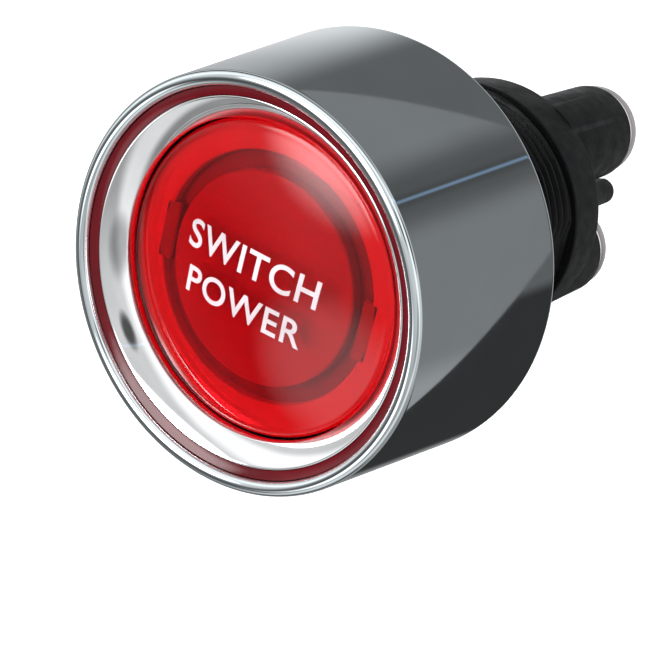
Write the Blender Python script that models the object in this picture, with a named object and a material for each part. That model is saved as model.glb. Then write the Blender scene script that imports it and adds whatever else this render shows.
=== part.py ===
"""Panel push button: chromed bezel, lit red lens, threaded barrel and three screw terminals.

The switch is modelled about its own axis, with local +Z pointing out of the panel towards the
user, local +Y up and the origin at the centre of the gasket face that rests on the panel. One
empty turns the whole switch, so that in the world the front faces -Y and +Z stays up.
Dimensions are in millimetres and become metres as each mesh is built.
"""

import math

import bmesh
import bpy
from mathutils import Matrix

MM = 0.001
MERGE = 1e-7
OVERCUT = 1.0                   # how far a cutting tool runs past the piece
SHARP_DEGREES = 30.0
GAP = 0.3                       # clearance left where two separate pieces meet
ROUND = 36                      # sides of a large turned piece
SMALL_ROUND = 16                # sides of a small turned piece

# Bezel: a slightly flared cone with a rolled front lip.
BEZEL_REAR_RADIUS = 17.0
BEZEL_REAR_Z = 0.3
BEZEL_FRONT_RADIUS = 15.5
BEZEL_FRONT_Z = 16.06
BEZEL_LIP_Z = 16.56
BEZEL_LIP_INNER_RADIUS = 14.15
BEZEL_STEP_Z = 9.5
BEZEL_STEP_RADIUS = 15.0
BEZEL_SKIRT_RADIUS = 16.0

# Trim ring: the polished cove between the lip and the lens.
TRIM_OUTER_RADIUS = BEZEL_LIP_INNER_RADIUS - GAP
TRIM_INNER_RADIUS = 12.25
TRIM_COVE_RADIUS = 13.5
TRIM_FRONT_Z = 15.66
TRIM_COVE_Z = 13.66
TRIM_POCKET_RADIUS = 13.0
TRIM_POCKET_Z = 11.0
LENS_SEAL_RADII = (12.1, 12.7)
LENS_SEAL_Z = (9.6, 10.7)
LIP_STEPS = 6                   # facets across the lip, and across the cove

# Housing: front cup, panel flange and threaded barrel.
FLANGE_RADIUS = BEZEL_SKIRT_RADIUS - GAP
FLANGE_REAR_Z = 1.2
FLANGE_FRONT_Z = 3.0
CUP_OUTER_RADIUS = 13.8
CUP_INNER_RADIUS = 12.5
CUP_TOP_Z = 9.2
FLOOR_REAR_Z = 2.0
FLOOR_FRONT_Z = 3.6
GUIDE_BORE_RADIUS = 2.5
BARREL_BORE_RADIUS = 9.2
BARREL_REAR_Z = -14.8
THREAD_RADIUS = 11.0            # M22
THREAD_PITCH = 1.0
THREAD_ROOT_RADIUS = 10.4
THREAD_FRONT_Z = -0.3
THREAD_REAR_Z = -14.4
THREAD_RUNOUT = 0.05            # height share left where the thread fades out
BARREL_FLAT_HALF_WIDTH = 10.3   # the barrel has a flat on each side
BARREL_SEAM = 1e-4              # distance within which the thread's ends join the barrel

# Panel fittings.
GASKET_RADII = (11.4, 15.6)
GASKET_THICKNESS = 0.9
GASKET_BEAD_RADIUS = 14.6       # inside of the raised outer rib that meets the panel
GASKET_BEAD_HEIGHT = 0.2
WASHER_RADII = (11.4, 13.9)
WASHER_TEETH = 12
WASHER_TOOTH_DEPTH = 0.5
WASHER_THICKNESS = 0.9
WASHER_TOOTH_SHARES = (0.5, 0.6, 0.9)   # end of the crown, start and end of the notch
NUT_BORE_RADIUS = 11.3
NUT_ACROSS_FLATS = 25.0
NUT_THICKNESS = 3.2
NUT_CHAMFER = 0.5
NUT_CHAMFER_MARGIN = 0.1

# Terminal base and its three posts.
BASE_RADIUS = 10.74
BASE_FRONT_Z = -15.1
BASE_REAR_Z = -19.85
BASE_FLARE = 0.26
BASE_FLARE_DEPTH = 0.5
BASE_EDGE = 0.1
SPIGOT_RADIUS = 8.8
SPIGOT_FRONT_Z = -13.0
GUIDE_HOLE_RADIUS = 2.6
GUIDE_HOLE_DEPTH = 3.4
POST_RADIUS = 4.25
POST_PITCH_RADIUS = 6.6
POST_END_Z = -30.1
POST_ROOT = 0.5                 # how far the posts and the rib run into the disc
POSTS = {"start": 64.0, "supply": -56.0, "ground": 184.0}
CONTACT_POSTS = ("start", "supply")
INSERT_RADIUS = 2.9
INSERT_SHOULDER_Z = -16.6
INSERT_NECK_RADIUS = 1.6
INSERT_HEAD_RADIUS = 2.2
INSERT_HEAD_THICKNESS = 0.8
INSERT_BORE_RADIUS = 2.0
INSERT_BORE_END_Z = -19.5
RIB_END_Z = -33.1               # the rib stands above the screw heads as a barrier
RIB_TIP_RADIUS = 6.0
RIB_HALF_WIDTH = 1.2
RIB_HOLLOW_RADIUS = POST_RADIUS + 0.5
RIB_TIP_STEPS = 6
RIB_HOLLOW_STEPS = 8
HALF_PITCH = 60.0               # from a post to the rib arm beside it, in degrees

# Terminal screws: M4 pan heads with a slotted cross recess.
SCREW_SHANK_RADIUS = 1.7
SCREW_SHANK_END_Z = -20.6
SCREW_HEAD_RADIUS = 4.05
SCREW_RIM_HEIGHT = 1.0
SCREW_DOME_HEIGHT = 1.3
SCREW_SLOT_WIDTH = 0.9
SCREW_CROSS_LENGTH = 4.4
SCREW_RECESS_DEPTH = 1.2
SCREW_SLOT_TURNS = {"start": 0.0, "supply": 55.0, "ground": 25.0}   # from the post's own direction

# Button: lens, legend disc, carrier, clips and plunger.
LENS_RADIUS = 11.85
LENS_INNER_RADIUS = 10.8
LENS_REAR_Z = 10.2
LENS_EDGE_Z = 13.7
LENS_EDGE_FILLET = 0.4
LENS_EDGE_BREAK = 0.12
LENS_CROWN_Z = 15.1
LENS_WALL = 1.1
LEGEND_DISC_RADIUS = 8.1
LEGEND_DISC_Z = (11.9, 12.7)
CARRIER_RADIUS = LENS_RADIUS
CARRIER_SKIRT_INNER_RADIUS = 10.9
CARRIER_REAR_Z = 6.8
CARRIER_SHOULDER_Z = LENS_REAR_Z - GAP
CARRIER_NECK_RADIUS = LENS_INNER_RADIUS - GAP
CARRIER_WEB_Z = (10.2, 11.6)
CARRIER_BOSS_RADIUS = 3.2
CARRIER_BOSS_REAR_Z = 7.5
CARRIER_BORE_RADIUS = 2.3
CARRIER_BORE_END_Z = 10.1
CARRIER_WEB_TAPER = (1.6, 1.2)
CLIP_RADIUS = 9.05
CLIP_SIZE = (1.3, 4.6, 0.7)
CLIP_EDGE = 0.12
CLIP_Z = 11.95
PLUNGER_PIN_RADIUS = 2.0
PLUNGER_FRONT_Z = 9.8
PLUNGER_COLLAR_RADIUS = 3.0
PLUNGER_COLLAR_Z = (7.0, 7.2)
PLUNGER_COLLAR_CONE = 1.2
PLUNGER_SHAFT_RADIUS = 2.2
PLUNGER_SHOULDER_RADIUS = 3.7
PLUNGER_SHOULDER_Z = (-4.6, -3.6)
PLUNGER_TAIL_RADIUS = 1.9
PLUNGER_GROOVE_RADIUS = 1.4
PLUNGER_GROOVE_Z = (-10.5, -9.4)
PLUNGER_REAR_Z = -12.2
PLUNGER_TIP_CHAMFER = 0.3

# Contacts.
DISC_RADIUS = 7.9
DISC_BORE_RADIUS = 2.3
DISC_Z = (-9.3, -8.3)
DISC_CUT_X = -3.6
FIXED_CONTACT_RADIUS = 1.4
FIXED_CONTACT_HEIGHT = 0.6
CLIP_RING_RADII = (1.7, 3.3)
CLIP_RING_Z = (-10.2, -9.6)
CLIP_RING_MOUTH = 2.4

# Springs.
RETURN_SPRING_RADIUS = 4.6
RETURN_SPRING_WIRE = 0.4
RETURN_SPRING_Z = (4.3, 9.5)
RETURN_SPRING_TURNS = 5
CONTACT_SPRING_RADIUS = 2.9
CONTACT_SPRING_WIRE = 0.3
CONTACT_SPRING_Z = (-7.7, -5.2)
CONTACT_SPRING_TURNS = 3
SPRING_POINTS_PER_TURN = 10
SPRING_OPEN_SHARE = 0.75        # share of the height climbed between the closed ends
SPRING_CLOSED_TURN = 0.5        # turns at each end that lie nearly flat

# Lamp circuit: a ring board on the cup floor, fed by two strips along the barrel.
BOARD_RADII = (5.6, 10.4)
BOARD_Z = (3.9, 4.9)
LED_COUNT = 3
LED_RADIUS = 1.2
LED_FLANGE_RADIUS = 1.5
LED_HEIGHT = 1.7
LED_FLANGE_HEIGHT = 0.3
LED_SHOULDER = 0.6              # from the shoulder of the dome to its top
LED_CROWN = (0.7, 0.15)         # share of the radius, and distance below the top
LED_PITCH_RADIUS = 8.0
LED_FIRST_ANGLE = 90.0
RESISTOR_ANGLE = 30.0
RESISTOR_SIZE = (1.6, 3.2, 0.7)
RESISTOR_EDGE = 0.1
STRIP_RADIUS = 8.5
STRIP_THICKNESS = 0.4
STRIP_WIDTH = 2.4
STRIP_FRONT_Z = 3.6
STRIP_SLOT_CLEARANCE = 0.4
STRIPS = {"supply": "supply_strip", "ground": "ground_strip"}

INSERT_HEAD_Z = SPIGOT_FRONT_Z + GAP
INSERT_TOP_Z = INSERT_HEAD_Z + INSERT_HEAD_THICKNESS


# ---- modelling tools ----

def material(name, colour, roughness, metallic=0.0, alpha=1.0):
    """A Principled material."""
    made = bpy.data.materials.new(name)
    made.use_nodes = True
    shader = made.node_tree.nodes["Principled BSDF"]
    shader.inputs["Base Color"].default_value = (*colour, 1.0)
    shader.inputs["Roughness"].default_value = roughness
    shader.inputs["Metallic"].default_value = metallic
    shader.inputs["Alpha"].default_value = alpha
    return made


def empty(name, parent=None):
    """An empty that carries pieces."""
    made = bpy.data.objects.new(name, None)
    bpy.context.scene.collection.objects.link(made)
    made.parent = parent
    return made


def finish(name, bm, parent, look):
    """Turn a mesh built in millimetres into a named object in metres."""
    bmesh.ops.remove_doubles(bm, verts=bm.verts, dist=MERGE)
    bmesh.ops.recalc_face_normals(bm, faces=bm.faces)
    bmesh.ops.scale(bm, vec=(MM, MM, MM), verts=bm.verts)
    mesh = bpy.data.meshes.new(name)
    bm.to_mesh(mesh)
    bm.free()
    mesh.shade_smooth()
    mesh.set_sharp_from_angle(angle=math.radians(SHARP_DEGREES))
    made = bpy.data.objects.new(name, mesh)
    bpy.context.scene.collection.objects.link(made)
    made.parent = parent
    if look is not None:
        mesh.materials.append(look)
    return made


def polar(radius, degrees):
    """The x and y of a point at an angle about the axis."""
    angle = math.radians(degrees)
    return radius * math.cos(angle), radius * math.sin(angle)


def ellipse_arc(centre, size, first, last, steps):
    """Points (radius, z) along an ellipse, from one angle to another in degrees."""
    points = []
    for step in range(steps + 1):
        angle = math.radians(first + (last - first) * step / steps)
        points.append((centre[0] + size[0] * math.cos(angle), centre[1] + size[1] * math.sin(angle)))
    return points


def spin_outline(bm, outline, sides, closed):
    """Spin an outline of (radius, z) points once about the axis."""
    verts = [bm.verts.new((radius, 0.0, z)) for radius, z in outline]
    pairs = list(zip(verts, verts[1:]))
    if closed:
        pairs.append((verts[-1], verts[0]))
    edges = [bm.edges.new(pair) for pair in pairs]
    bmesh.ops.spin(bm, geom=verts + edges, cent=(0, 0, 0), axis=(0, 0, 1), dvec=(0, 0, 0),
                   angle=math.tau, steps=sides, use_merge=True)


def turned(name, outline, parent, look, sides=ROUND, place=(0.0, 0.0)):
    """A round solid: an outline of (radius, z) points spun about the axis, then placed."""
    bm = bmesh.new()
    on_axis = outline[0][0] == 0.0 and outline[-1][0] == 0.0
    spin_outline(bm, outline, sides, closed=not on_axis)
    bmesh.ops.remove_doubles(bm, verts=bm.verts, dist=MERGE)
    made = finish(name, bm, parent, look)
    made.location = (place[0] * MM, place[1] * MM, 0.0)
    return made


def washer_outline(radii, heights):
    """The outline of a plain ring."""
    return [(radii[0], heights[0]), (radii[1], heights[0]), (radii[1], heights[1]), (radii[0], heights[1])]


def rod_outline(radius, heights):
    """The outline of a plain round rod."""
    return [(0.0, heights[0]), (radius, heights[0]), (radius, heights[1]), (0.0, heights[1])]


def overcut(heights):
    """Two heights, moved apart so that a tool runs past both faces."""
    return heights[0] - OVERCUT, heights[1] + OVERCUT


def prism(name, outline, heights, parent, look):
    """A solid with a flat outline of (x, y) points, extruded between two heights."""
    bm = bmesh.new()
    face = bm.faces.new([bm.verts.new((x, y, heights[0])) for x, y in outline])
    raised = bmesh.ops.extrude_face_region(bm, geom=[face])["geom"]
    moved = [item for item in raised if isinstance(item, bmesh.types.BMVert)]
    bmesh.ops.translate(bm, vec=(0, 0, heights[1] - heights[0]), verts=moved)
    return finish(name, bm, parent, look)


def block(name, size, centre, parent, look, degrees=0.0):
    """A box placed at a centre, turned about the switch's axis."""
    bm = bmesh.new()
    bmesh.ops.create_cube(bm, size=1.0)
    bmesh.ops.scale(bm, vec=size, verts=bm.verts)
    bmesh.ops.translate(bm, vec=centre, verts=bm.verts)
    turn = Matrix.Rotation(math.radians(degrees), 3, "Z")
    bmesh.ops.rotate(bm, cent=(0, 0, 0), matrix=turn, verts=bm.verts)
    return finish(name, bm, parent, look)


def cut_or_join(target, tool, operation):
    """Combine a tool with a target by a Boolean, and keep the tool out of the model."""
    tool.hide_render = True
    tool.display_type = "WIRE"
    modifier = target.modifiers.new(tool.name, "BOOLEAN")
    modifier.operation = operation
    modifier.object = tool


def bevelled(target, width):
    """Break a piece's edges."""
    modifier = target.modifiers.new("broken_edges", "BEVEL")
    modifier.width = width * MM
    modifier.segments = 1


# ---- fixed pieces ----

def make_bezel(parent, look):
    """The chromed cone, hollow behind, with its lip rolled over a narrow valley."""
    lip_centre_r = (BEZEL_FRONT_RADIUS + BEZEL_LIP_INNER_RADIUS) / 2
    lip_half = (BEZEL_FRONT_RADIUS - BEZEL_LIP_INNER_RADIUS) / 2
    lip = ellipse_arc((lip_centre_r, BEZEL_FRONT_Z), (lip_half, BEZEL_LIP_Z - BEZEL_FRONT_Z), 0, 180,
                      LIP_STEPS)
    outline = [(BEZEL_SKIRT_RADIUS, BEZEL_REAR_Z), (BEZEL_REAR_RADIUS, BEZEL_REAR_Z)]
    outline += lip
    outline += [(BEZEL_LIP_INNER_RADIUS, BEZEL_STEP_Z), (BEZEL_STEP_RADIUS, BEZEL_STEP_Z)]
    outline += [(BEZEL_SKIRT_RADIUS, FLANGE_FRONT_Z + GAP)]
    turned("bezel", outline, parent, look)


def make_trim_ring(parent, look):
    """The inner ring: a concave cove in front, and a pocket for the lens seal behind."""
    seat_z = CUP_TOP_Z + GAP
    cove_size = (TRIM_COVE_RADIUS - TRIM_INNER_RADIUS, TRIM_FRONT_Z - TRIM_COVE_Z)
    cove = ellipse_arc((TRIM_INNER_RADIUS, TRIM_FRONT_Z), cove_size, 0, -90, LIP_STEPS)
    outline = [(TRIM_POCKET_RADIUS, seat_z), (TRIM_OUTER_RADIUS, seat_z)]
    outline += [(TRIM_OUTER_RADIUS, TRIM_FRONT_Z)]
    outline += cove
    outline += [(TRIM_INNER_RADIUS, TRIM_POCKET_Z), (TRIM_POCKET_RADIUS, TRIM_POCKET_Z)]
    turned("trim_ring", outline, parent, look)


def make_lens_seal(parent, look):
    """The rubber wiper that fills the trim ring's pocket round the button."""
    turned("lens_seal", washer_outline(LENS_SEAL_RADII, LENS_SEAL_Z), parent, look)


def add_thread(bm):
    """A helical thread between the ends of the barrel, closed by a flat face at each end."""
    turns = int(THREAD_FRONT_Z - THREAD_REAR_Z) - 1
    count = turns * ROUND
    start_z = THREAD_REAR_Z + THREAD_PITCH / 2
    crests = []
    roots = []
    for step in range(count + 1):
        fade = min(1.0, step / ROUND * 2, (count - step) / ROUND * 2)
        crest_radius = THREAD_ROOT_RADIUS + (THREAD_RADIUS - THREAD_ROOT_RADIUS) * max(fade, THREAD_RUNOUT)
        angle = 360.0 * step / ROUND
        z = start_z + THREAD_PITCH * step / ROUND
        crests.append(bm.verts.new((*polar(crest_radius, angle), z)))
        roots.append(bm.verts.new((*polar(THREAD_ROOT_RADIUS, angle), z + THREAD_PITCH / 2)))
    rear = [bm.verts.new((*polar(THREAD_ROOT_RADIUS, 360.0 * side / ROUND), THREAD_REAR_Z))
            for side in range(ROUND)]
    front = [bm.verts.new((*polar(THREAD_ROOT_RADIUS, 360.0 * side / ROUND), THREAD_FRONT_Z))
             for side in range(ROUND)]
    for step in range(count):
        bm.faces.new((crests[step], crests[step + 1], roots[step + 1], roots[step]))
    for step in range(count - ROUND):
        bm.faces.new((roots[step], roots[step + 1], crests[step + 1 + ROUND], crests[step + ROUND]))
    for side in range(ROUND):
        following = (side + 1) % ROUND
        last = count - ROUND + side
        bm.faces.new((rear[side], rear[following], crests[side + 1], crests[side]))
        bm.faces.new((roots[last], roots[last + 1], front[following], front[side]))
    bm.faces.new((rear[0], crests[0], roots[0], crests[ROUND]))
    bm.faces.new((front[0], roots[count], crests[count], roots[count - ROUND]))


def make_housing(parent, look):
    """The moulded body: cup, floor, panel flange and threaded barrel with two side flats."""
    bm = bmesh.new()
    outline = [
        (THREAD_ROOT_RADIUS, THREAD_FRONT_Z), (THREAD_ROOT_RADIUS, FLANGE_REAR_Z),
        (FLANGE_RADIUS, FLANGE_REAR_Z), (FLANGE_RADIUS, FLANGE_FRONT_Z),
        (CUP_OUTER_RADIUS, FLANGE_FRONT_Z), (CUP_OUTER_RADIUS, CUP_TOP_Z),
        (CUP_INNER_RADIUS, CUP_TOP_Z), (CUP_INNER_RADIUS, FLOOR_FRONT_Z),
        (GUIDE_BORE_RADIUS, FLOOR_FRONT_Z), (GUIDE_BORE_RADIUS, FLOOR_REAR_Z),
        (BARREL_BORE_RADIUS, FLOOR_REAR_Z), (BARREL_BORE_RADIUS, BARREL_REAR_Z),
        (THREAD_ROOT_RADIUS, BARREL_REAR_Z), (THREAD_ROOT_RADIUS, THREAD_REAR_Z),
    ]
    spin_outline(bm, outline, ROUND, closed=False)
    add_thread(bm)
    bmesh.ops.remove_doubles(bm, verts=bm.verts, dist=BARREL_SEAM)
    housing = finish("housing", bm, parent, look)
    flat_depth = THREAD_RADIUS
    front_z = FLANGE_REAR_Z - GAP
    rear_z = BARREL_REAR_Z - OVERCUT
    for side in (-1, 1):
        centre_x = side * (BARREL_FLAT_HALF_WIDTH + flat_depth / 2)
        centre_z = (front_z + rear_z) / 2
        height = front_z - rear_z
        tool = block(f"flat_tool_{side}", (flat_depth, 2 * THREAD_RADIUS, height),
                     (centre_x, 0.0, centre_z), parent, None)
        cut_or_join(housing, tool, "DIFFERENCE")
    slot = (STRIP_THICKNESS + 2 * STRIP_SLOT_CLEARANCE, STRIP_WIDTH + 2 * STRIP_SLOT_CLEARANCE,
            FLOOR_FRONT_Z - FLOOR_REAR_Z + 2 * OVERCUT)
    floor_z = (FLOOR_FRONT_Z + FLOOR_REAR_Z) / 2
    for post in STRIPS:
        tool = block(f"slot_tool_{post}", slot, (STRIP_RADIUS, 0.0, floor_z), parent, None, POSTS[post])
        cut_or_join(housing, tool, "DIFFERENCE")


def make_gasket(parent, look):
    """The rubber ring under the flange, with a raised outer rib whose face rests on the panel."""
    outline = [
        (GASKET_RADII[0], GASKET_BEAD_HEIGHT), (GASKET_BEAD_RADIUS, GASKET_BEAD_HEIGHT),
        (GASKET_BEAD_RADIUS, 0.0), (GASKET_RADII[1], 0.0),
        (GASKET_RADII[1], GASKET_THICKNESS), (GASKET_RADII[0], GASKET_THICKNESS),
    ]
    turned("panel_gasket", outline, parent, look)


def make_lock_washer(parent, look):
    """A flat washer with short teeth round its edge."""
    outer = []
    step = 360.0 / WASHER_TEETH
    crown_end, notch_start, notch_end = WASHER_TOOTH_SHARES
    notch_radius = WASHER_RADII[1] - WASHER_TOOTH_DEPTH
    for tooth in range(WASHER_TEETH):
        outer.append(polar(WASHER_RADII[1], tooth * step))
        outer.append(polar(WASHER_RADII[1], (tooth + crown_end) * step))
        outer.append(polar(notch_radius, (tooth + notch_start) * step))
        outer.append(polar(notch_radius, (tooth + notch_end) * step))
    heights = (-GAP - WASHER_THICKNESS, -GAP)
    washer = prism("lock_washer", outer, heights, parent, look)
    tool = turned("washer_bore_tool", rod_outline(WASHER_RADII[0], overcut(heights)), parent, None)
    cut_or_join(washer, tool, "DIFFERENCE")


def make_nut(parent, look):
    """The hexagonal panel nut, chamfered at its corners, with its thread left plain."""
    front_z = -2 * GAP - WASHER_THICKNESS
    rear_z = front_z - NUT_THICKNESS
    corner = NUT_ACROSS_FLATS / 2 / math.cos(math.radians(30))
    outline = [polar(corner, 60.0 * side) for side in range(6)]
    nut = prism("panel_nut", outline, (rear_z, front_z), parent, look)
    inside = corner - NUT_CHAMFER
    outside = corner + NUT_CHAMFER_MARGIN
    below_z = rear_z - NUT_CHAMFER_MARGIN
    above_z = front_z + NUT_CHAMFER_MARGIN
    chamfer = turned("nut_chamfer_tool", [
        (0.0, below_z), (inside, below_z), (outside, rear_z + NUT_CHAMFER),
        (outside, front_z - NUT_CHAMFER), (inside, above_z), (0.0, above_z),
    ], parent, None)
    cut_or_join(nut, chamfer, "INTERSECT")
    bore = turned("nut_bore_tool", rod_outline(NUT_BORE_RADIUS, overcut((rear_z, front_z))), parent, None)
    cut_or_join(nut, bore, "DIFFERENCE")


def rib_outline():
    """A three-armed rib whose hollow sides run round the posts and whose tips are round."""
    across_to_post = POST_PITCH_RADIUS * math.sin(math.radians(HALF_PITCH)) - RIB_HALF_WIDTH
    hollow_span = 2 * HALF_PITCH - math.degrees(math.asin(across_to_post / RIB_HOLLOW_RADIUS))
    points = []
    for arm in sorted(degrees + HALF_PITCH for degrees in POSTS.values()):
        for step in range(RIB_TIP_STEPS + 1):
            angle = math.radians(-90.0 + 180.0 * step / RIB_TIP_STEPS)
            along = RIB_TIP_RADIUS - RIB_HALF_WIDTH + RIB_HALF_WIDTH * math.cos(angle)
            across = RIB_HALF_WIDTH * math.sin(angle)
            points.append(polar(math.hypot(along, across), arm + math.degrees(math.atan2(across, along))))
        post_x, post_y = polar(POST_PITCH_RADIUS, arm + HALF_PITCH)
        for step in range(1, RIB_HOLLOW_STEPS):
            turn = hollow_span * (1.0 - 2.0 * step / RIB_HOLLOW_STEPS)
            x, y = polar(RIB_HOLLOW_RADIUS, arm + HALF_PITCH + 180.0 + turn)
            points.append((post_x + x, post_y + y))
    return points


def make_terminal_base(parent, look):
    """The moulded rear: spigot, disc, three posts and the three-armed rib between them."""
    hole_end_z = SPIGOT_FRONT_Z - GUIDE_HOLE_DEPTH
    flare_radius = BASE_RADIUS + BASE_FLARE
    root_z = BASE_REAR_Z + POST_ROOT
    outline = [
        (0.0, BASE_REAR_Z), (BASE_RADIUS, BASE_REAR_Z),
        (BASE_RADIUS, BASE_FRONT_Z - BASE_FLARE_DEPTH), (flare_radius, BASE_FRONT_Z - BASE_EDGE),
        (flare_radius - BASE_EDGE, BASE_FRONT_Z),
        (SPIGOT_RADIUS, BASE_FRONT_Z), (SPIGOT_RADIUS, SPIGOT_FRONT_Z),
        (GUIDE_HOLE_RADIUS, SPIGOT_FRONT_Z), (GUIDE_HOLE_RADIUS, hole_end_z), (0.0, hole_end_z),
    ]
    base = turned("terminal_base", outline, parent, look)
    rib = prism("rib_tool", rib_outline(), (RIB_END_Z, root_z), parent, None)
    cut_or_join(base, rib, "UNION")
    for name, degrees in POSTS.items():
        place = polar(POST_PITCH_RADIUS, degrees)
        post = turned(f"post_tool_{name}", rod_outline(POST_RADIUS, (POST_END_Z, root_z)), parent, None,
                      place=place)
        cut_or_join(base, post, "UNION")
    shoulder_z = INSERT_SHOULDER_Z + GAP
    hole_rear_z, hole_front_z = overcut((POST_END_Z, SPIGOT_FRONT_Z))
    hole = [
        (0.0, hole_rear_z), (INSERT_RADIUS + GAP, hole_rear_z), (INSERT_RADIUS + GAP, shoulder_z),
        (INSERT_NECK_RADIUS + GAP, shoulder_z), (INSERT_NECK_RADIUS + GAP, hole_front_z),
        (0.0, hole_front_z),
    ]
    for name, degrees in POSTS.items():
        tool = turned(f"hole_tool_{name}", hole, parent, None, SMALL_ROUND, polar(POST_PITCH_RADIUS, degrees))
        cut_or_join(base, tool, "DIFFERENCE")


def make_insert(name, degrees, parent, look):
    """A brass bush moulded in a post, with a threaded hole behind and a riveted head in front."""
    outline = [
        (0.0, INSERT_BORE_END_Z), (INSERT_BORE_RADIUS, INSERT_BORE_END_Z),
        (INSERT_BORE_RADIUS, POST_END_Z + GAP), (INSERT_RADIUS, POST_END_Z + GAP),
        (INSERT_RADIUS, INSERT_SHOULDER_Z), (INSERT_NECK_RADIUS, INSERT_SHOULDER_Z),
        (INSERT_NECK_RADIUS, INSERT_HEAD_Z), (INSERT_HEAD_RADIUS, INSERT_HEAD_Z),
        (INSERT_HEAD_RADIUS, INSERT_TOP_Z), (0.0, INSERT_TOP_Z),
    ]
    place = polar(POST_PITCH_RADIUS, degrees)
    turned(f"terminal_insert_{name}", outline, parent, look, SMALL_ROUND, place)


def make_screw(name, degrees, parent, look):
    """An M4 terminal screw: plain shank, low domed head, and a cross recess with one long slot."""
    under_z = POST_END_Z - GAP
    rim_z = under_z - SCREW_RIM_HEIGHT
    outline = [(0.0, SCREW_SHANK_END_Z), (SCREW_SHANK_RADIUS, SCREW_SHANK_END_Z),
               (SCREW_SHANK_RADIUS, under_z), (SCREW_HEAD_RADIUS, under_z)]
    outline += ellipse_arc((0.0, rim_z), (SCREW_HEAD_RADIUS, SCREW_DOME_HEIGHT), 0, -90, 5)[:-1]
    outline += [(0.0, rim_z - SCREW_DOME_HEIGHT)]
    place = polar(POST_PITCH_RADIUS, degrees)
    screw = turned(f"terminal_screw_{name}", outline, parent, look, SMALL_ROUND, place)
    floor_z = rim_z - SCREW_DOME_HEIGHT + SCREW_RECESS_DEPTH
    depth = SCREW_RECESS_DEPTH + OVERCUT
    centre_z = floor_z - depth / 2
    slot_angle = degrees + SCREW_SLOT_TURNS[name]
    for part, length, turn in (("slot", 3 * SCREW_HEAD_RADIUS, 0.0), ("cross", SCREW_CROSS_LENGTH, 90.0)):
        tool = block(f"{part}_tool_{name}", (length, SCREW_SLOT_WIDTH, depth), (0.0, 0.0, centre_z),
                     parent, None, slot_angle + turn)
        tool.location = (place[0] * MM, place[1] * MM, 0.0)
        cut_or_join(screw, tool, "DIFFERENCE")


def make_fixed_contact(name, degrees, parent, look):
    """A silver contact on the head of a terminal insert."""
    rear_z = INSERT_TOP_Z + GAP
    outline = rod_outline(FIXED_CONTACT_RADIUS, (rear_z, rear_z + FIXED_CONTACT_HEIGHT))
    turned(f"fixed_contact_{name}", outline, parent, look, SMALL_ROUND, polar(POST_PITCH_RADIUS, degrees))


def make_strip(name, degrees, parent, look):
    """A brass strip from a terminal insert, along the barrel and through the floor to the board."""
    rear_z = INSERT_TOP_Z + GAP
    size = (STRIP_THICKNESS, STRIP_WIDTH, STRIP_FRONT_Z - rear_z)
    centre = (STRIP_RADIUS, 0.0, (STRIP_FRONT_Z + rear_z) / 2)
    block(name, size, centre, parent, look, degrees)


def make_lamp(parent, looks):
    """The ring board on the cup floor, with its lamps and their series resistor."""
    turned("led_board", washer_outline(BOARD_RADII, BOARD_Z), parent, looks["board"])
    seat_z = BOARD_Z[1] + GAP
    flange_z = seat_z + LED_FLANGE_HEIGHT
    top_z = seat_z + LED_HEIGHT
    outline = [(0.0, seat_z), (LED_FLANGE_RADIUS, seat_z), (LED_FLANGE_RADIUS, flange_z),
               (LED_RADIUS, flange_z), (LED_RADIUS, top_z - LED_SHOULDER),
               (LED_RADIUS * LED_CROWN[0], top_z - LED_CROWN[1]), (0.0, top_z)]
    for index in range(LED_COUNT):
        place = polar(LED_PITCH_RADIUS, LED_FIRST_ANGLE + 360.0 * index / LED_COUNT)
        turned(f"led_{index + 1}", outline, parent, looks["lamp"], SMALL_ROUND, place)
    resistor = block("resistor", RESISTOR_SIZE, (LED_PITCH_RADIUS, 0.0, seat_z + RESISTOR_SIZE[2] / 2),
                     parent, looks["resistor"], RESISTOR_ANGLE)
    bevelled(resistor, RESISTOR_EDGE)


# ---- moving pieces ----

def make_lens(parent, look):
    """The domed red cap, hollow behind."""
    rise = LENS_CROWN_Z - LENS_EDGE_Z
    edge_radius = LENS_RADIUS - LENS_EDGE_FILLET
    sphere = (edge_radius ** 2 + rise ** 2) / (2 * rise)
    centre_z = LENS_CROWN_Z - sphere
    outer_half = math.degrees(math.asin(edge_radius / sphere))
    inner_sphere = sphere - LENS_WALL
    inner_half = math.degrees(math.asin(LENS_INNER_RADIUS / inner_sphere))
    outer = ellipse_arc((0.0, centre_z), (sphere, sphere), 90 - outer_half, 90, 7)[:-1]
    inner = ellipse_arc((0.0, centre_z), (inner_sphere, inner_sphere), 90, 90 - inner_half, 4)[1:]
    outline = [(0.0, centre_z + inner_sphere)] + inner
    outline += [(LENS_INNER_RADIUS, LENS_REAR_Z), (LENS_RADIUS, LENS_REAR_Z)]
    outline += [(LENS_RADIUS, LENS_EDGE_Z - LENS_EDGE_FILLET),
                (LENS_RADIUS - LENS_EDGE_BREAK, LENS_EDGE_Z - LENS_EDGE_BREAK)]
    outline += outer
    outline += [(0.0, LENS_CROWN_Z)]
    turned("lens_cap", outline, parent, look)


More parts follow.
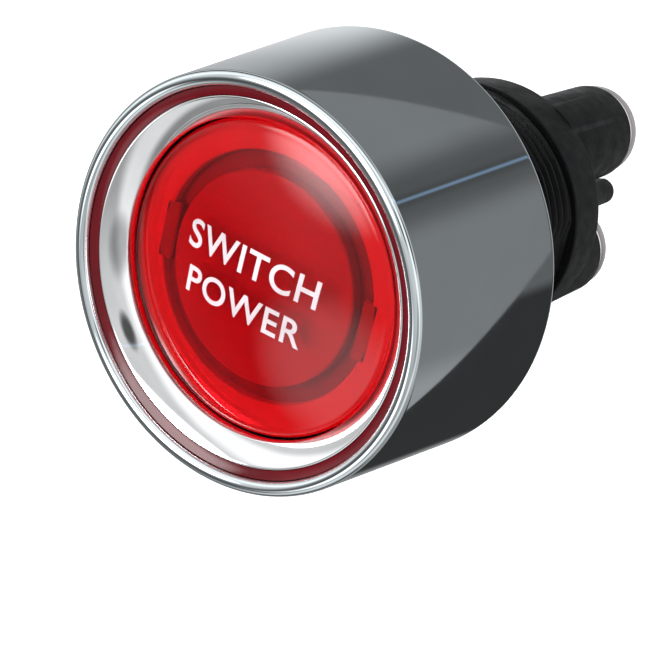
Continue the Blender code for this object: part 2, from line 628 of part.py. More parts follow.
def make_carrier(parent, look):
    """The translucent cup that holds the lens and takes the plunger in its boss."""
    taper, drop = CARRIER_WEB_TAPER
    outline = [
        (0.0, CARRIER_BORE_END_Z), (CARRIER_BORE_RADIUS, CARRIER_BORE_END_Z),
        (CARRIER_BORE_RADIUS, CARRIER_BOSS_REAR_Z), (CARRIER_BOSS_RADIUS, CARRIER_BOSS_REAR_Z),
        (CARRIER_BOSS_RADIUS, CARRIER_WEB_Z[0]), (CARRIER_SKIRT_INNER_RADIUS - taper, CARRIER_WEB_Z[0]),
        (CARRIER_SKIRT_INNER_RADIUS, CARRIER_SHOULDER_Z - drop),
        (CARRIER_SKIRT_INNER_RADIUS, CARRIER_REAR_Z), (CARRIER_RADIUS, CARRIER_REAR_Z),
        (CARRIER_RADIUS, CARRIER_SHOULDER_Z), (CARRIER_NECK_RADIUS, CARRIER_SHOULDER_Z),
        (CARRIER_NECK_RADIUS, CARRIER_WEB_Z[1]), (0.0, CARRIER_WEB_Z[1]),
    ]
    turned("button_carrier", outline, parent, look)


def make_clips(parent, look):
    """The two dark latches that hold the lens, one at each side."""
    for name, degrees in (("right", 0.0), ("left", 180.0)):
        centre = (CLIP_RADIUS, 0.0, CLIP_Z + CLIP_SIZE[2] / 2)
        clip = block(f"lens_clip_{name}", CLIP_SIZE, centre, parent, look, degrees)
        bevelled(clip, CLIP_EDGE)


def make_plunger(parent, look):
    """The stem that pushes the moving contact, with a spring shoulder and a clip groove."""
    collar_rear = PLUNGER_COLLAR_Z[0] - PLUNGER_COLLAR_CONE
    outline = [
        (0.0, PLUNGER_REAR_Z), (PLUNGER_TAIL_RADIUS - PLUNGER_TIP_CHAMFER, PLUNGER_REAR_Z),
        (PLUNGER_TAIL_RADIUS, PLUNGER_REAR_Z + PLUNGER_TIP_CHAMFER),
        (PLUNGER_TAIL_RADIUS, PLUNGER_GROOVE_Z[0]), (PLUNGER_GROOVE_RADIUS, PLUNGER_GROOVE_Z[0]),
        (PLUNGER_GROOVE_RADIUS, PLUNGER_GROOVE_Z[1]), (PLUNGER_TAIL_RADIUS, PLUNGER_GROOVE_Z[1]),
        (PLUNGER_TAIL_RADIUS, PLUNGER_SHOULDER_Z[0]), (PLUNGER_SHOULDER_RADIUS, PLUNGER_SHOULDER_Z[0]),
        (PLUNGER_SHOULDER_RADIUS, PLUNGER_SHOULDER_Z[1]), (PLUNGER_SHAFT_RADIUS, PLUNGER_SHOULDER_Z[1]),
        (PLUNGER_SHAFT_RADIUS, collar_rear), (PLUNGER_COLLAR_RADIUS, PLUNGER_COLLAR_Z[0]),
        (PLUNGER_COLLAR_RADIUS, PLUNGER_COLLAR_Z[1]), (PLUNGER_PIN_RADIUS, PLUNGER_COLLAR_Z[1]),
        (PLUNGER_PIN_RADIUS, PLUNGER_FRONT_Z), (0.0, PLUNGER_FRONT_Z),
    ]
    turned("plunger", outline, parent, look, SMALL_ROUND)


def make_retaining_clip(parent, look):
    """The clip snapped in the plunger's groove behind the contact disc."""
    clip = turned("retaining_clip", washer_outline(CLIP_RING_RADII, CLIP_RING_Z), parent, look, SMALL_ROUND)
    reach = 2 * CLIP_RING_RADII[1]
    rear_z, front_z = overcut(CLIP_RING_Z)
    tool = block("clip_mouth_tool", (reach, CLIP_RING_MOUTH, front_z - rear_z),
                 (reach / 2, 0.0, (front_z + rear_z) / 2), parent, None, -90.0)
    cut_or_join(clip, tool, "DIFFERENCE")


def make_contact_disc(parent, look):
    """The copper disc that bridges two terminals, cut away beside the third."""
    disc = turned("contact_disc", washer_outline((DISC_BORE_RADIUS, DISC_RADIUS), DISC_Z), parent, look)
    rear_z, front_z = overcut(DISC_Z)
    tool = block("disc_cut_tool", (DISC_RADIUS, 3 * DISC_RADIUS, front_z - rear_z),
                 (DISC_CUT_X - DISC_RADIUS / 2, 0.0, (front_z + rear_z) / 2), parent, None)
    cut_or_join(disc, tool, "DIFFERENCE")


def make_spring(name, radius, wire, heights, turns, parent, look):
    """A coil spring, as a round wire swept along a helix with closed ends."""
    curve = bpy.data.curves.new(name, "CURVE")
    curve.dimensions = "3D"
    curve.bevel_depth = wire * MM
    curve.bevel_resolution = 1
    curve.use_fill_caps = True
    spline = curve.splines.new("POLY")
    count = turns * SPRING_POINTS_PER_TURN
    spline.points.add(count)
    closed = SPRING_CLOSED_TURN / turns
    for step, point in enumerate(spline.points):
        share = step / count
        climb = min(max((share - closed) / (1 - 2 * closed), 0.0), 1.0)
        rise = SPRING_OPEN_SHARE * climb + (1 - SPRING_OPEN_SHARE) * share
        lift = heights[0] + (heights[1] - heights[0]) * rise
        x, y = polar(radius, 360.0 * step / SPRING_POINTS_PER_TURN)
        point.co = (x * MM, y * MM, lift * MM, 1.0)
    curve.materials.append(look)
    made = bpy.data.objects.new(name, curve)
    bpy.context.scene.collection.objects.link(made)
    made.parent = parent


# ---- assembly ----

def make_looks():
    """Every material of the switch."""
    return {
        "chrome": material("chrome", (0.62, 0.64, 0.65), 0.08, 1.0),
        "lens": material("lens_red", (0.75, 0.02, 0.03), 0.08, alpha=0.7),
        "legend": material("legend_red", (0.80, 0.05, 0.06), 0.35),
        "carrier": material("carrier_red", (0.70, 0.06, 0.06), 0.4),
        "clip": material("clip_dark", (0.12, 0.01, 0.01), 0.45),
        "black": material("black_nylon", (0.022, 0.023, 0.025), 0.42),
        "rubber": material("black_rubber", (0.015, 0.015, 0.015), 0.75),
        "nickel": material("nickel", (0.78, 0.75, 0.74), 0.2, 1.0),
        "steel": material("zinc_steel", (0.55, 0.56, 0.58), 0.35, 1.0),
        "brass": material("brass", (0.78, 0.60, 0.28), 0.3, 1.0),
        "copper": material("copper", (0.80, 0.45, 0.30), 0.3, 1.0),
        "silver": material("silver", (0.85, 0.85, 0.83), 0.3, 1.0),
        "plunger": material("plunger_white", (0.75, 0.74, 0.70), 0.45),
        "board": material("board", (0.05, 0.22, 0.10), 0.5),
        "lamp": material("lamp", (0.85, 0.12, 0.10), 0.15),
        "resistor": material("resistor", (0.03, 0.03, 0.03), 0.5),
        "spring": material("spring_steel", (0.60, 0.60, 0.62), 0.3, 1.0),
    }


def build():
    """Build the whole switch."""
    for existing in list(bpy.data.objects):
        bpy.data.objects.remove(existing)
    looks = make_looks()
    switch = empty("switch_axis")
    switch.rotation_euler = (math.radians(90), 0.0, 0.0)
    button = empty("button_axis", switch)
    contact = empty("contact_axis", switch)
    washer_slide = empty("washer_axis", switch)
    nut_spin = empty("nut_axis", washer_slide)

    make_bezel(switch, looks["chrome"])
    make_trim_ring(switch, looks["chrome"])
    make_lens_seal(switch, looks["rubber"])
    make_housing(switch, looks["black"])
    make_gasket(switch, looks["rubber"])
    make_terminal_base(switch, looks["black"])
    for name, degrees in POSTS.items():
        make_insert(name, degrees, switch, looks["brass"])
        make_screw(name, degrees, switch, looks["nickel"])
    for name in CONTACT_POSTS:
        make_fixed_contact(name, POSTS[name], switch, looks["silver"])
    for post, name in STRIPS.items():
        make_strip(name, POSTS[post], switch, looks["brass"])
    make_lamp(switch, looks)

    make_lens(button, looks["lens"])
    turned("legend_disc", rod_outline(LEGEND_DISC_RADIUS, LEGEND_DISC_Z), button, looks["legend"])
    make_carrier(button, looks["carrier"])
    make_clips(button, looks["clip"])
    make_plunger(button, looks["plunger"])
    make_retaining_clip(button, looks["steel"])
    make_contact_disc(contact, looks["copper"])
    make_spring("return_spring", RETURN_SPRING_RADIUS, RETURN_SPRING_WIRE, RETURN_SPRING_Z,
                RETURN_SPRING_TURNS, switch, looks["spring"])
    make_spring("contact_spring", CONTACT_SPRING_RADIUS, CONTACT_SPRING_WIRE, CONTACT_SPRING_Z,
                CONTACT_SPRING_TURNS, button, looks["spring"])

    make_lock_washer(washer_slide, looks["steel"])
    make_nut(nut_spin, looks["black"])
    bpy.context.view_layer.update()


build()
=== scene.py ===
"""Looks for the panel push button: chrome, a red lens with a painted glow behind it, black mouldings and
nickel screws.

Everything is in metres in the frame of the CAD model: +Y runs along the switch's axis into the
panel, so the lens faces -Y, and +Z is up. Outlines are lists of (radius, depth), where depth is
world Y. Millimetre figures are multiplied by MM.
"""

import math

import bmesh
import bpy
from mathutils import Matrix, Vector


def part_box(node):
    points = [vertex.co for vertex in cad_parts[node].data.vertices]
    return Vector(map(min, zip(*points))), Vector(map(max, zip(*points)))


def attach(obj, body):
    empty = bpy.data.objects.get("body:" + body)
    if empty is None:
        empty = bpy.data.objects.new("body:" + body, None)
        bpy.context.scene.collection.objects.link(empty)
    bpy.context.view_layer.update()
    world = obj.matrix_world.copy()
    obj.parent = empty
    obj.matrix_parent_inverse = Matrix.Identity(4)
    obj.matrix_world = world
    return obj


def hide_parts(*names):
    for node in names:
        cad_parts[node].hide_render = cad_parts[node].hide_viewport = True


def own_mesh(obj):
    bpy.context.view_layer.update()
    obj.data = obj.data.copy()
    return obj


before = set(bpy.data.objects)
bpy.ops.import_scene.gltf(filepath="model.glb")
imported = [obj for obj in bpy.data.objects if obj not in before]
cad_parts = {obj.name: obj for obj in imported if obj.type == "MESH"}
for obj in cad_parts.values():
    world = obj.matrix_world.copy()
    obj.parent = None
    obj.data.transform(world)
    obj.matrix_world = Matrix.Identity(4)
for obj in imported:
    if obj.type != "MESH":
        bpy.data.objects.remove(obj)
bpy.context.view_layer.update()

MM = 0.001
FINE = 192                       # sides of a large turned piece
MEDIUM = 64                      # sides of a post or a screw
SHARP_ANGLE = 35.0               # edges steeper than this, in degrees, stay sharp

BEZEL_LOW, BEZEL_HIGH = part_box("bezel")
BEZEL_REAR_RADIUS = BEZEL_HIGH.x
BEZEL_FRONT = BEZEL_LOW.y
BEZEL_REAR = BEZEL_HIGH.y
LIP_HEIGHT = 0.5 * MM
LIP_OUTER_RADIUS = 15.5 * MM
LIP_INNER_RADIUS = 14.38 * MM

LENS_LOW, LENS_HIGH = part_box("lens_cap")
LENS_RADIUS = LENS_HIGH.x
LENS_CROWN = LENS_LOW.y
LENS_REAR = LENS_HIGH.y
LENS_RISE = 1.2 * MM
LENS_EDGE_FILLET = 0.65 * MM
LENS_WALL = 1.05 * MM
RING_FRONT = -12.65 * MM
DOME_EDGE_RADIUS = LENS_RADIUS - LENS_EDGE_FILLET
DOME_SPHERE = (DOME_EDGE_RADIUS ** 2 + LENS_RISE ** 2) / (2 * LENS_RISE)

POSTS = {"start": 64.0, "supply": -56.0, "ground": 184.0}
SLOT_TURNS = {"start": 0.0, "supply": 55.0, "ground": 25.0}
POST_PITCH_RADIUS = 6.6 * MM
POST_RADIUS = 4.25 * MM

CHANNEL_OUTER = Vector((14.36, -16.0)) * MM      # where the rolled lip ends
CHANNEL_INNER = Vector((13.53, -15.7)) * MM      # the rim of the cove
COVE_FOOT = Vector((11.95, -14.25)) * MM
COVE_RIM_SLOPE = 32.0
COVE_FOOT_SLOPE = 54.0

CAMERA_LOCATION = Vector((57.13, -101.82, 48.04)) * MM
CAMERA_AIM = Vector((3.33, -8.49, -3.46)) * MM
CAMERA_ROLL = 14.3
CAMERA_LENS = 88.48

FLOOR_HEIGHT = -0.12
FLOOR_SIZE = 6.0


# ---- geometry ----

def collect(name, bm, material, sharp=SHARP_ANGLE):
    """Link a finished mesh as a smooth-shaded object with one material."""
    mesh = bpy.data.meshes.new(name)
    bmesh.ops.recalc_face_normals(bm, faces=bm.faces)
    bm.to_mesh(mesh)
    bm.free()
    mesh.shade_smooth()
    mesh.set_sharp_from_angle(angle=math.radians(sharp))
    mesh.materials.append(material)
    made = bpy.data.objects.new(name, mesh)
    bpy.context.scene.collection.objects.link(made)
    return made


def arc(centre, size, first, last, steps):
    """Points along an ellipse about (radius, depth), between two angles in degrees."""
    points = []
    for step in range(steps + 1):
        angle = math.radians(first + (last - first) * step / steps)
        points.append((centre[0] + size[0] * math.cos(angle), centre[1] + size[1] * math.sin(angle)))
    return points


def rounded(corners, steps=4):
    """Round each (radius, depth, fillet) corner of a closed outline."""
    points = []
    count = len(corners)
    for index, (radius, depth, fillet) in enumerate(corners):
        here = Vector((radius, depth))
        if fillet == 0.0:
            points.append((radius, depth))
            continue
        before = Vector(corners[index - 1][:2]) - here
        after = Vector(corners[(index + 1) % count][:2]) - here
        half = before.angle(after) / 2
        reach = min(fillet / math.tan(half), before.length * 0.49, after.length * 0.49)
        start = here + before.normalized() * reach
        end = here + after.normalized() * reach
        for step in range(steps + 1):
            share = step / steps
            point = start * (1 - share) ** 2 + here * (2 * share * (1 - share)) + end * share ** 2
            points.append((point.x, point.y))
    return points


def spin(outline, sides=FINE):
    """Turn a closed outline of (radius, depth) about the Y axis. Points on the axis close the ends."""
    bm = bmesh.new()
    rings = []
    for radius, depth in outline:
        if radius < 1e-9:
            rings.append([bm.verts.new((0.0, depth, 0.0))])
            continue
        ring = []
        for side in range(sides):
            angle = math.tau * side / sides
            ring.append(bm.verts.new((radius * math.cos(angle), depth, radius * math.sin(angle))))
        rings.append(ring)
    for ring, following in zip(rings, rings[1:] + rings[:1]):
        if len(ring) == 1 and len(following) == 1:
            continue
        for side in range(sides):
            after = (side + 1) % sides
            corners = [ring[side % len(ring)], ring[after % len(ring)],
                       following[after % len(following)], following[side % len(following)]]
            unique = list(dict.fromkeys(corners))
            bm.faces.new(unique)
    return bm


def turned(name, outline, material, sides=FINE, sharp=SHARP_ANGLE):
    """A turned piece on the switch's axis."""
    return collect(name, spin(outline, sides), material, sharp)


def polar(radius, degrees):
    """The x and z of a point at an angle about the axis, seen from the front, from +X towards +Z."""
    angle = math.radians(degrees)
    return radius * math.cos(angle), radius * math.sin(angle)


def evaluated_copy(source):
    """The mesh of an object with its modifiers applied."""
    depsgraph = bpy.context.evaluated_depsgraph_get()
    return bpy.data.meshes.new_from_object(source.evaluated_get(depsgraph), depsgraph=depsgraph)


def combine(target, tools, operation):
    """Apply Booleans with each tool in turn, then discard the tools."""
    for tool in tools:
        modifier = target.modifiers.new(tool.name, "BOOLEAN")
        modifier.operation = operation
        modifier.object = tool
    bpy.context.view_layer.update()
    mesh = evaluated_copy(target)
    target.modifiers.clear()
    target.data = mesh
    mesh.shade_smooth()
    mesh.set_sharp_from_angle(angle=math.radians(SHARP_ANGLE))
    for tool in tools:
        bpy.data.objects.remove(tool)


# ---- materials ----

NOISE_LOW = 0.3                  # a noise seldom leaves this range
NOISE_HIGH = 0.7


class Nodes:
    """A short way to wire shader nodes."""

    def __init__(self, material):
        self.tree = material.node_tree
        self.shader = self.tree.nodes["Principled BSDF"]

    def add(self, kind):
        return self.tree.nodes.new(kind)

    def link(self, source, target):
        self.tree.links.new(source, target)

    def coordinates(self, stretch=(1.0, 1.0, 1.0)):
        place = self.add("ShaderNodeTexCoord")
        mapping = self.add("ShaderNodeMapping")
        mapping.inputs["Scale"].default_value = stretch
        self.link(place.outputs["Object"], mapping.inputs["Vector"])
        return mapping.outputs["Vector"]

    def noise(self, scale, detail=3.0, stretch=(1.0, 1.0, 1.0), roughness=0.55):
        node = self.add("ShaderNodeTexNoise")
        node.inputs["Scale"].default_value = scale
        node.inputs["Detail"].default_value = detail
        node.inputs["Roughness"].default_value = roughness
        self.link(self.coordinates(stretch), node.inputs["Vector"])
        return node.outputs["Fac"]

    def spread(self, source, low, high):
        """A value between low and high, over the middle of a noise's range."""
        node = self.add("ShaderNodeMapRange")
        node.inputs["From Min"].default_value = NOISE_LOW
        node.inputs["From Max"].default_value = NOISE_HIGH
        node.inputs["To Min"].default_value = low
        node.inputs["To Max"].default_value = high
        self.link(source, node.inputs["Value"])
        return node.outputs["Result"]

    def tones(self, source, first, last):
        """A colour between two, over the middle of a noise's range."""
        node = self.add("ShaderNodeValToRGB")
        for element, place, colour in zip(node.color_ramp.elements, (NOISE_LOW, NOISE_HIGH), (first, last)):
            element.position = place
            element.color = (*colour, 1.0)
        self.link(source, node.inputs["Fac"])
        return node.outputs["Color"]

    def bump(self, source, distance):
        node = self.add("ShaderNodeBump")
        node.inputs["Strength"].default_value = 1.0
        node.inputs["Distance"].default_value = distance
        self.link(source, node.inputs["Height"])
        self.link(node.outputs["Normal"], self.shader.inputs["Normal"])


def principled(name, roughness=0.5, metallic=0.0, **inputs):
    """A Principled material and its node helper. Underscores in input names stand for spaces."""
    material = bpy.data.materials.new(name)
    material.use_nodes = True
    nodes = Nodes(material)
    nodes.shader.inputs["Roughness"].default_value = roughness
    nodes.shader.inputs["Metallic"].default_value = metallic
    for key, value in inputs.items():
        nodes.shader.inputs[key.replace("_", " ")].default_value = value
    return material, nodes


def shade(colour, factor):
    """A darker or lighter tone of a colour."""
    return tuple(min(1.0, channel * factor) for channel in colour)


def metal(name, colour, low, high, ripple, grain=(1.0, 1.0, 1.0)):
    """Plated or drawn metal: its tone and gloss drift a little, over a fine ripple."""
    material, nodes = principled(name, metallic=1.0)
    drift = nodes.noise(180.0, 2.0)
    nodes.link(nodes.tones(drift, shade(colour, 0.94), colour),
               nodes.shader.inputs["Base Color"])
    wear = nodes.noise(900.0, 5.0, grain, 0.7)
    nodes.link(nodes.spread(wear, low, high), nodes.shader.inputs["Roughness"])
    nodes.bump(nodes.noise(260.0, 2.0, grain), ripple)
    return material


def moulding(name, colour, low, high, grain_scale, depth, **inputs):
    """Moulded plastic or rubber: a fine skin grain, and gloss that drifts across the face."""
    material, nodes = principled(name, **inputs)
    cloud = nodes.noise(220.0, 4.0)
    nodes.link(nodes.tones(cloud, shade(colour, 0.8), shade(colour, 1.25)),
               nodes.shader.inputs["Base Color"])
    nodes.link(nodes.spread(nodes.noise(700.0, 3.0), low, high), nodes.shader.inputs["Roughness"])
    nodes.bump(nodes.noise(grain_scale, 3.0), depth)
    return material


def lens_material():
    """Clear red acrylic, faintly uneven where it was moulded and polished."""
    material, nodes = principled("lens_acrylic", roughness=0.02, Transmission_Weight=1.0, IOR=1.40)
    tint = nodes.noise(90.0, 2.0)
    nodes.link(nodes.tones(tint, (0.86, 0.012, 0.026), (0.90, 0.018, 0.034)),
               nodes.shader.inputs["Base Color"])
    nodes.bump(nodes.noise(160.0, 1.0), 0.004 * MM)
    return material


def glow_material(name, colour, strength):
    """Translucent red moulding behind the lens, with emission that is a painted glow on the disc, groove and
    ring, and the lamps' own light on the LEDs.
    """
    material, nodes = principled(name, Emission_Strength=strength)
    cloud = nodes.noise(240.0, 3.0)
    tones = nodes.tones(cloud, shade(colour, 0.9), colour)
    nodes.link(tones, nodes.shader.inputs["Base Color"])
    # The emission takes the base colour: a painted glow, except on the lamps.
    nodes.link(tones, nodes.shader.inputs["Emission Color"])
    nodes.link(nodes.spread(nodes.noise(600.0), 0.30, 0.45), nodes.shader.inputs["Roughness"])
    nodes.bump(nodes.noise(900.0), 0.01 * MM)
    return material


def make_materials():
    """Every finish on the switch, by name."""
    matt = {"Specular_IOR_Level": 0.14}
    black = (0.0055, 0.0057, 0.0062)
    return {
        "chrome": metal("chrome_plate", (0.80, 0.86, 0.88), 0.015, 0.035, 0.0004 * MM),
        "trim": metal("chrome_trim_plate", (0.90, 0.90, 0.90), 0.04, 0.08, 0.001 * MM, (1.0, 6.0, 1.0)),
        "nickel": metal("nickel_plate", (0.86, 0.80, 0.80), 0.10, 0.26, 0.02 * MM),
        "steel": metal("zinc_plate", (0.62, 0.63, 0.66), 0.25, 0.42, 0.01 * MM),
        "brass": metal("turned_brass", (0.80, 0.60, 0.28), 0.22, 0.38, 0.01 * MM, (1.0, 8.0, 1.0)),
        "copper": metal("stamped_copper", (0.85, 0.48, 0.32), 0.22, 0.4, 0.01 * MM),
        "silver": metal("contact_silver", (0.88, 0.87, 0.84), 0.2, 0.4, 0.01 * MM),
        "spring": metal("spring_wire", (0.62, 0.62, 0.64), 0.2, 0.36, 0.004 * MM),
        "housing": moulding("black_housing", black, 0.32, 0.48, 2600.0, 0.012 * MM, **matt),
        "base": moulding("black_base", black, 0.34, 0.52, 2200.0, 0.014 * MM, **matt),
        "nut": moulding("black_nut", (0.006, 0.006, 0.0064), 0.38, 0.58, 2400.0, 0.012 * MM, **matt),
        "rubber": moulding("black_rubber", (0.007, 0.007, 0.007), 0.62, 0.85, 3200.0, 0.02 * MM, **matt),
        "clip": moulding("clip_dark", (0.13, 0.012, 0.016), 0.3, 0.5, 1800.0, 0.01 * MM),
        "nylon": moulding("white_nylon", (0.62, 0.60, 0.56), 0.35, 0.55, 1800.0, 0.01 * MM),
        "board": moulding("circuit_board", (0.02, 0.13, 0.05), 0.3, 0.5, 2600.0, 0.01 * MM),
        "resistor": moulding("resistor_body", (0.02, 0.02, 0.02), 0.4, 0.6, 2600.0, 0.01 * MM),
        "ink": moulding("legend_ink", (0.46, 0.38, 0.40), 0.35, 0.5, 5200.0, 0.006 * MM),
        # The channel's dark red is a painted reflection of the red lens in the chrome, not a coloured part.
        "channel": moulding("channel_painted_lens_reflection", (0.075, 0.0012, 0.004), 0.05, 0.14, 900.0, 0.006 * MM, IOR=1.36),
        "lens": lens_material(),
        # Three copies of one red: the disc with a painted glow, the groove darker and dimmer as painted
        # shade, the ring brighter as painted light.
        "disc": glow_material("legend_disc_red_painted_glow", (0.20, 0.045, 0.075), 0.14),
        "groove": glow_material("carrier_groove_painted_shade", (0.10, 0.022, 0.035), 0.07),
        "ring": glow_material("carrier_ring_painted_light", (0.31, 0.05, 0.08), 0.22),
        "lamp": glow_material("lamp_epoxy", (0.85, 0.20, 0.18), 0.2),
    }


# ---- bezel and front ----

def make_bezel(looks):
    """The chromed cone with its rolled lip."""
    crease = BEZEL_FRONT + LIP_HEIGHT
    middle = (LIP_OUTER_RADIUS + LIP_INNER_RADIUS) / 2
    half = (LIP_OUTER_RADIUS - LIP_INNER_RADIUS) / 2
    skirt = BEZEL_REAR_RADIUS - 1.0 * MM
    skirt_front = -3.3 * MM
    step = -9.5 * MM
    step_outer = 15.0 * MM
    inner = [(LIP_INNER_RADIUS, step, 0.1 * MM), (step_outer, step, 0.1 * MM),
             (skirt, skirt_front, 0.0), (skirt, BEZEL_REAR, 0.08 * MM),
             (BEZEL_REAR_RADIUS, BEZEL_REAR, 0.28 * MM)]
    body = rounded([(LIP_INNER_RADIUS, crease, 0.0)] + inner + [(LIP_OUTER_RADIUS, crease, 0.0)])
    lip = arc((middle, crease), (half, -LIP_HEIGHT), 0, 180, 28)
    rear = Vector(body[-2])
    front = Vector(body[-1])
    # Rings close to both ends keep the long cone's shading true.
    cone = [tuple(rear.lerp(front, share)) for share in (0.01, 0.03, 0.25, 0.5, 0.75, 0.97, 0.99)]
    bezel = turned("bezel_shell", body[1:-1] + cone + lip, looks["chrome"], sharp=50.0)
    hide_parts("bezel")
    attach(bezel, "switch_body")


def sloped_arc(start, end, first_slope, last_slope, steps=16):
    """A curve from start to end, both (radius, depth), whose slope turns evenly between two values."""
    points = []
    along = Vector((0.0, 0.0))
    for step in range(steps + 1):
        points.append(along.copy())
        slope = math.radians(first_slope + (last_slope - first_slope) * (step + 0.5) / steps)
        along += Vector((-math.cos(slope), math.sin(slope)))
    reach = points[-1]
    span = end - start
    return [(start.x + point.x * span.x / reach.x, start.y + point.y * span.y / reach.y) for point in points]


def make_trim(looks):
    """The chromed cove that leads from the channel down to the lens."""
    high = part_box("trim_ring")[1]
    rear_radius = 12.25 * MM
    pocket_radius = 13.0 * MM
    pocket_depth = -11.0 * MM
    shoulder_depth = -14.6 * MM
    edge = 0.06 * MM
    foot_height = 0.9 * MM
    foot_slope = 0.3 * MM
    foot_rear = COVE_FOOT.y + foot_height
    cove = sloped_arc(CHANNEL_INNER, COVE_FOOT, COVE_RIM_SLOPE, COVE_FOOT_SLOPE)
    body = [(COVE_FOOT.x, foot_rear), (rear_radius, foot_rear + foot_slope),
            (rear_radius, pocket_depth), (pocket_radius, pocket_depth), (pocket_radius, high.y),
            (high.x, high.y), (high.x, shoulder_depth), (CHANNEL_INNER.x + 2 * edge, shoulder_depth),
            (CHANNEL_INNER.x + 2 * edge, CHANNEL_INNER.y + edge), (CHANNEL_INNER.x + edge, CHANNEL_INNER.y)]
    trim = turned("trim_cove", cove + body, looks["trim"], sharp=50.0)
    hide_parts("trim_ring")
    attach(trim, "switch_body")


def make_channel(looks):
    """The channel between the rolled lip and the cove: a ring whose dark glossy red is a painted reflection
    of the red lens.
    """
    gap = 0.03 * MM
    floor = -15.2 * MM
    inner = CHANNEL_INNER.x + 0.12 * MM + gap
    outer = CHANNEL_OUTER.x - gap
    dip = Vector(((inner + outer) / 2, (CHANNEL_INNER.y + CHANNEL_OUTER.y) / 2 + 0.10 * MM))
    start = Vector((outer, CHANNEL_OUTER.y + 0.06 * MM))
    end = Vector((inner, CHANNEL_INNER.y + 0.04 * MM))
    steps = 8
    face = []
    for step in range(steps + 1):
        share = step / steps
        point = start * (1 - share) ** 2 + dip * (2 * share * (1 - share)) + end * share ** 2
        face.append((point.x, point.y))
    channel = turned("channel_ring_painted_reflection", face + [(inner, floor), (outer, floor)], looks["channel"], sharp=50.0)
    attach(channel, "switch_body")


def dome_depth(radius, sphere=DOME_SPHERE, crown=LENS_CROWN):
    """The depth of the dome's surface at a radius."""
    return crown + sphere - math.sqrt(sphere ** 2 - radius ** 2)


def make_lens(looks):
    """The domed cap: clear red acrylic, a shell with a rounded shoulder."""
    edge = dome_depth(DOME_EDGE_RADIUS)
    inner_sphere = DOME_SPHERE - LENS_WALL
    inner_crown = LENS_CROWN + LENS_WALL
    foot = RING_FRONT - 0.12 * MM
    foot_radius = LENS_RADIUS - 0.35 * MM
    shoulder_start = 72
    steps = 40
    outer = [(DOME_EDGE_RADIUS * share / steps, dome_depth(DOME_EDGE_RADIUS * share / steps))
             for share in range(steps + 1)]
    shoulder = arc((DOME_EDGE_RADIUS, edge + LENS_EDGE_FILLET), (LENS_EDGE_FILLET, -LENS_EDGE_FILLET),
                   shoulder_start, 0, 10)
    inner = [(foot_radius * share / steps, dome_depth(foot_radius * share / steps, inner_sphere, inner_crown))
             for share in range(steps, -1, -1)]
    outline = outer + shoulder + [(LENS_RADIUS, foot), (foot_radius, foot)] + inner
    lens = turned("lens_dome", outline, looks["lens"], sharp=60.0)
    lens.visible_shadow = False
    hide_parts("lens_cap")
    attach(lens, "button")


def make_lens_interior(looks):
    """What shows through the lens: the legend disc, the groove round it and the ring under its edge, in reds
    with a painted glow, darker in the groove as painted shade and brighter on the ring as painted light.
    """
    disc_radius = 8.0 * MM
    disc_rear = -12.0 * MM
    disc_front = -13.0 * MM
    groove_outer = 9.4 * MM
    groove_floor = -11.9 * MM
    rear = -11.7 * MM
    skirt_inner = 10.8 * MM
    disc = turned("disc_red", rounded([
        (0.0, disc_rear, 0.0), (disc_radius, disc_rear, 0.0), (disc_radius, disc_front, 0.25 * MM),
        (0.0, disc_front, 0.0)]), looks["disc"])
    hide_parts("legend_disc")
    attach(disc, "button")
    groove = turned("carrier_groove", rounded([
        (0.0, rear, 0.0), (groove_outer, rear, 0.0), (groove_outer, groove_floor, 0.0),
        (0.0, groove_floor, 0.0)]), looks["groove"])
    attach(groove, "button")
    ring = turned("carrier_ring", rounded([
        (groove_outer, rear, 0.0), (skirt_inner, rear, 0.0), (skirt_inner, LENS_REAR, 0.0),
        (LENS_RADIUS, LENS_REAR, 0.0), (LENS_RADIUS, RING_FRONT, 0.1 * MM),
        (groove_outer, RING_FRONT, 0.2 * MM)]), looks["ring"])
    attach(ring, "button")


def legend_line(name, text, width, centre_height, looks):
    """One line of raised white letters laid on the dome."""
    longest_edge = 0.08              # in the font's own units
    raised = 0.04 * MM
    buried = 0.02 * MM
    curve = bpy.data.curves.new(name, "FONT")
    curve.body = text
    curve.align_x = "CENTER"
    curve.align_y = "CENTER"
    curve.offset = 0.012
    curve.space_character = 1.08
    curve.extrude = 0.01
    source = bpy.data.objects.new(name + "_source", curve)
    bpy.context.scene.collection.objects.link(source)
    bpy.context.view_layer.update()
    mesh = evaluated_copy(source)
    bpy.data.objects.remove(source)
    bm = bmesh.new()
    bm.from_mesh(mesh)
    bmesh.ops.remove_doubles(bm, verts=bm.verts, dist=1e-5)
    bmesh.ops.triangulate(bm, faces=bm.faces)
    bmesh.ops.subdivide_edges(bm, edges=[edge for edge in bm.edges if edge.calc_length() > longest_edge],
                              cuts=3, use_grid_fill=True)
    bmesh.ops.triangulate(bm, faces=bm.faces)
    left = min(vert.co.x for vert in bm.verts)
    right = max(vert.co.x for vert in bm.verts)
    low = min(vert.co.y for vert in bm.verts)
    high = max(vert.co.y for vert in bm.verts)
    scale = width / (right - left)
    for vert in bm.verts:
        x = (vert.co.x - (left + right) / 2) * scale
        z = (vert.co.y - (low + high) / 2) * scale + centre_height
        lift = raised if vert.co.z > 0 else -buried
        vert.co = (x, dome_depth(math.hypot(x, z)) - lift, z)
    line = collect(name, bm, looks["ink"])
    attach(line, "button")


def make_legend(looks):
    """Two generic words, in the size and place of a start button's legend."""
    half_pitch = 1.75 * MM
    legend_line("legend_upper", "SWITCH", 11.8 * MM, half_pitch, looks)
    legend_line("legend_lower", "POWER", 10.6 * MM, -half_pitch, looks)


# ---- behind the panel ----

def thread_profile(phase):
    """The height of a moulded thread, from 0 at the root to 1 at the crest, over one turn."""
    rise = 0.26
    crest = 0.24
    here = phase % 1.0
    if here < rise:
        return here / rise
    if here < rise + crest:
        return 1.0
    return max(0.0, 1.0 - (here - rise - crest) / rise)


